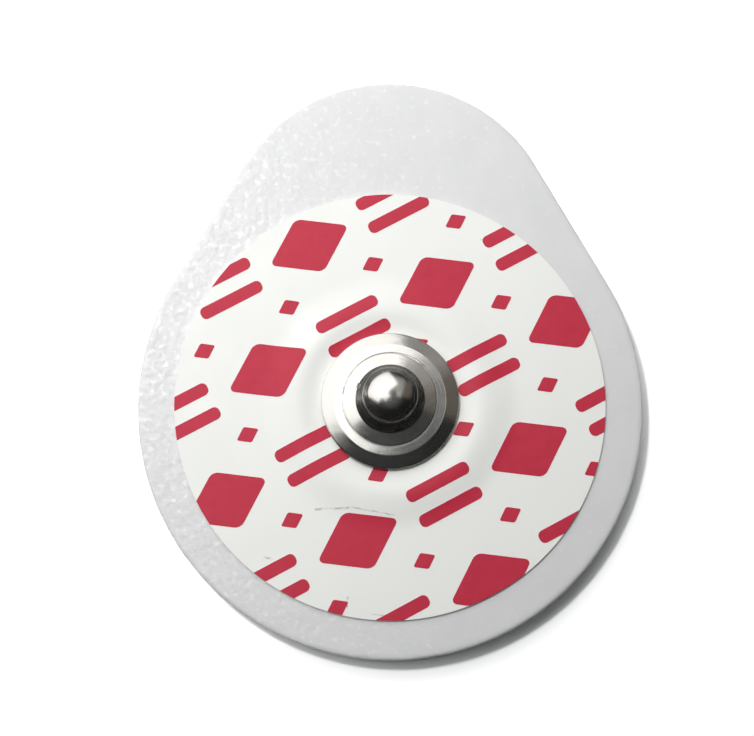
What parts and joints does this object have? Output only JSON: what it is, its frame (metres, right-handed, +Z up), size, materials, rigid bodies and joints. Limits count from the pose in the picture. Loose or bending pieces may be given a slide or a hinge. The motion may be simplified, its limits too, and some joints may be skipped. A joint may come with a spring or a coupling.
{
  "type": "ecg electrode",
  "caption": "Teardrop foam patch with a round printed film label and a riveted metal snap stud over a gel well.",
  "frame": {"origin": "on the snap's axis, on the face that the electrode lies on", "axes": "+Y towards the narrow lift end, +Z up along the snap's axis"},
  "size_m": [0.037, 0.0432, 0.006],
  "materials": {
    "liner_film": "clear silicone-coated polyester film",
    "skin_adhesive": "clear pressure-sensitive acrylic adhesive",
    "foam": "white closed-cell polyethylene foam, fine cells",
    "silver_chloride": "moulded plastic with a dull silver / silver-chloride coat",
    "hydrogel": "clear, slightly blue hydrogel",
    "label_film": "white satin film",
    "crimson_ink": "crimson printing ink",
    "nickel": "nickel-plated brass, drawn and bright"
  },
  "bodies": {
    "root": {"release_liner": "liner_film", "skin_adhesive": "skin_adhesive", "foam_pad": "foam", "sensor_eyelet": "silver_chloride", "gel_pad": "hydrogel", "label": "label_film", "label_print": "crimson_ink", "snap_stud": "nickel"}
  },
  "joints": []
}
